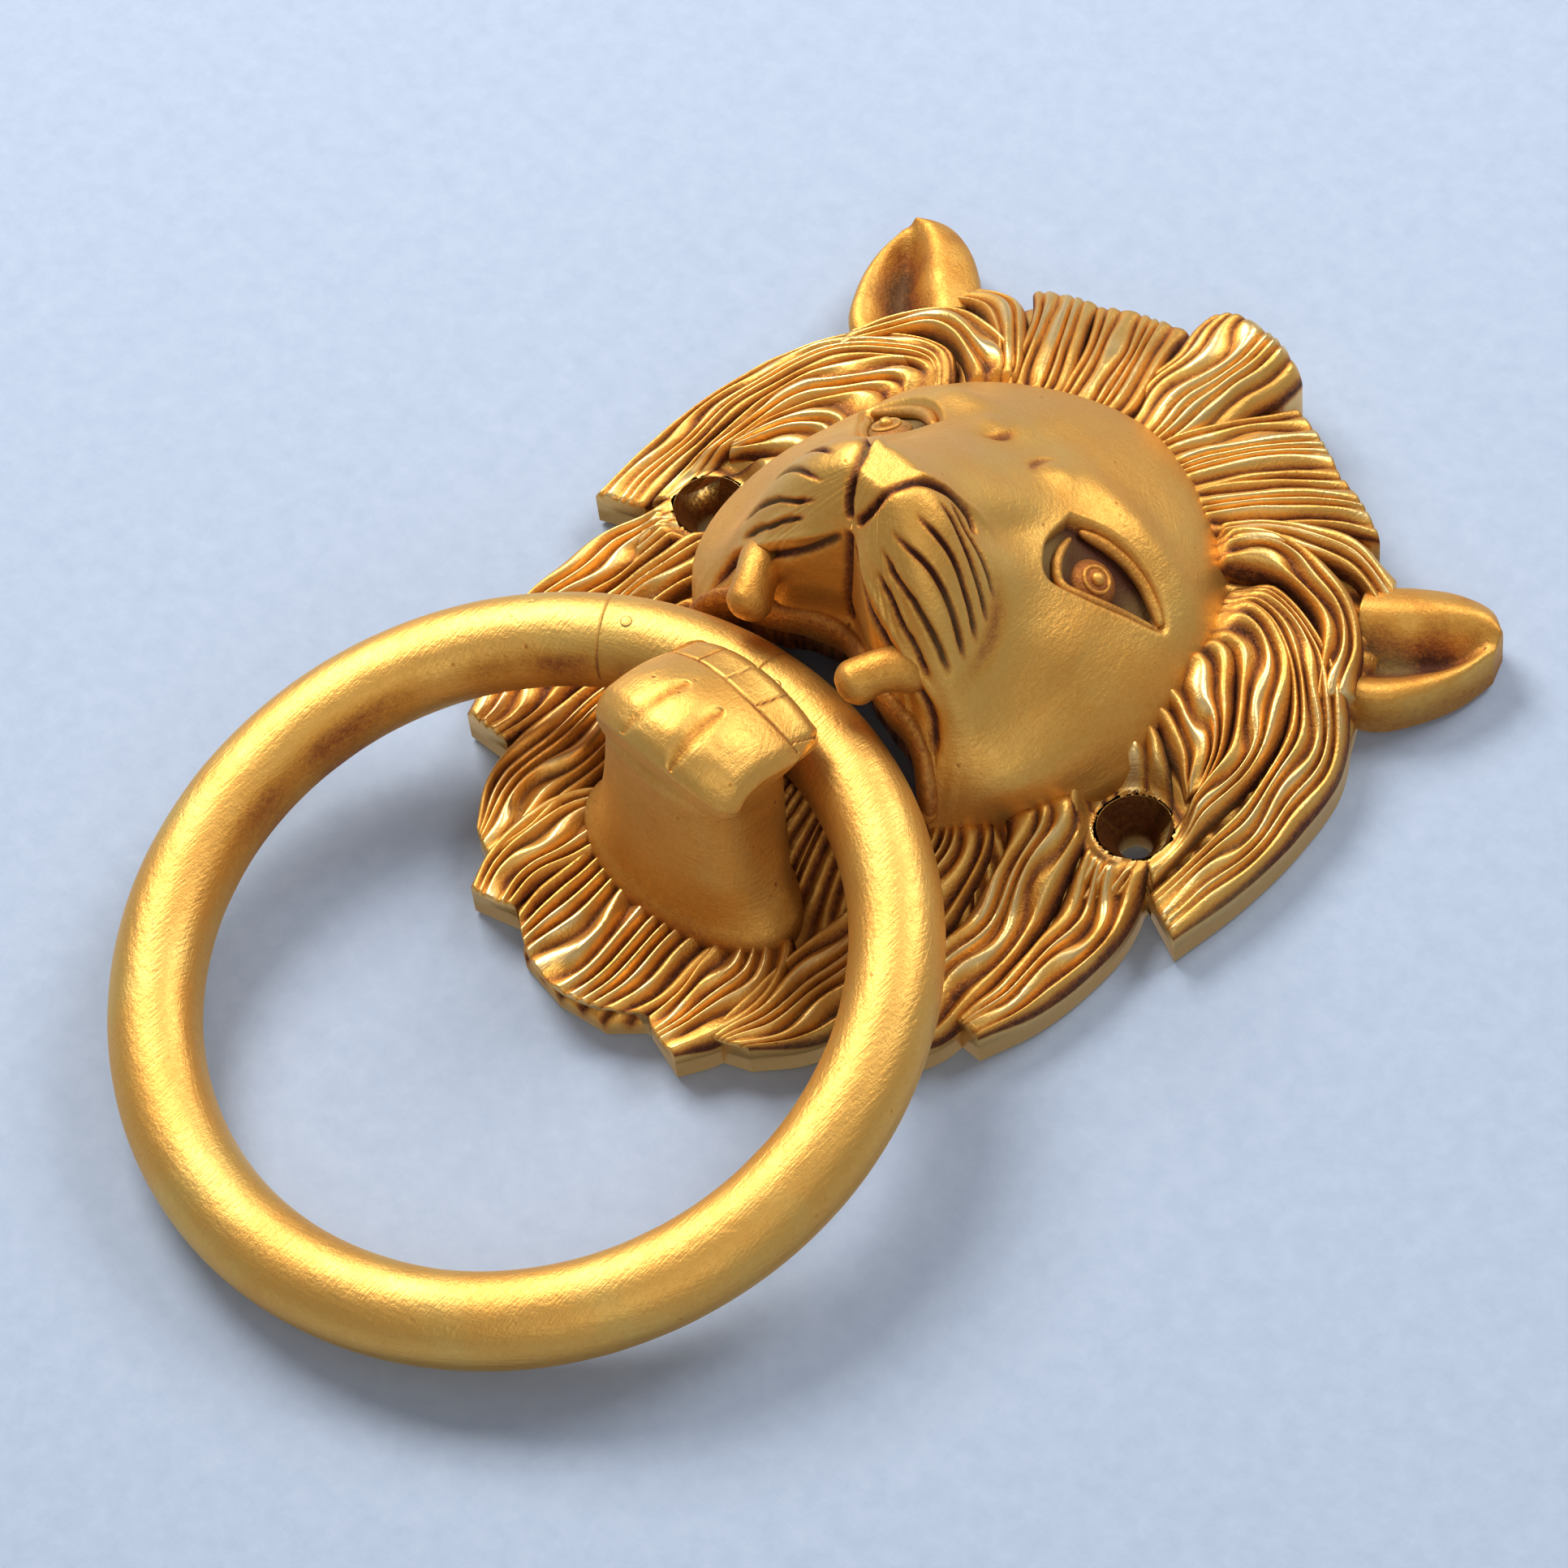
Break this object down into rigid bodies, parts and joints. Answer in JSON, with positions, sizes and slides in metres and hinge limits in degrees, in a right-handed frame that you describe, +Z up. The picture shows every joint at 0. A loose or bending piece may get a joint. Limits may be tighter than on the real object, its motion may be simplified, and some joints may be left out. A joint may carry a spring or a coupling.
{
  "type": "door knocker",
  "caption": "Cast lion's head mask for a door, with a swinging ring held in its open mouth as the knocker.",
  "frame": {"origin": "on the back plane, midway between the two screw holes", "axes": "+X to the viewer's right, +Z up the door, -Y out of the door, the way the face looks"},
  "size_m": [0.1194, 0.0545, 0.2096],
  "materials": {
    "brass_cast": "satin, antiqued in the recesses",
    "brass_ring": "satin, brushed and worn"
  },
  "bodies": {
    "mask": {"mane_plate": "brass_cast", "crest": "brass_cast", "face_shell": "brass_cast", "left_ear": "brass_cast", "right_ear": "brass_cast", "left_eye": "brass_cast", "right_eye": "brass_cast", "left_fang": "brass_cast", "right_fang": "brass_cast", "lower_jaw": "brass_cast"},
    "ring": {"ring_main": "brass_ring", "ring_link": "brass_ring", "ring_pins": "brass_ring"}
  },
  "joints": [
    {"name": "ring_swing", "type": "hinge", "parent": "mask", "child": "ring", "pos_m": [0, -0.02292, -0.0251], "axis": [-1, 0, 0], "range_deg": [0, 85]}
  ]
}
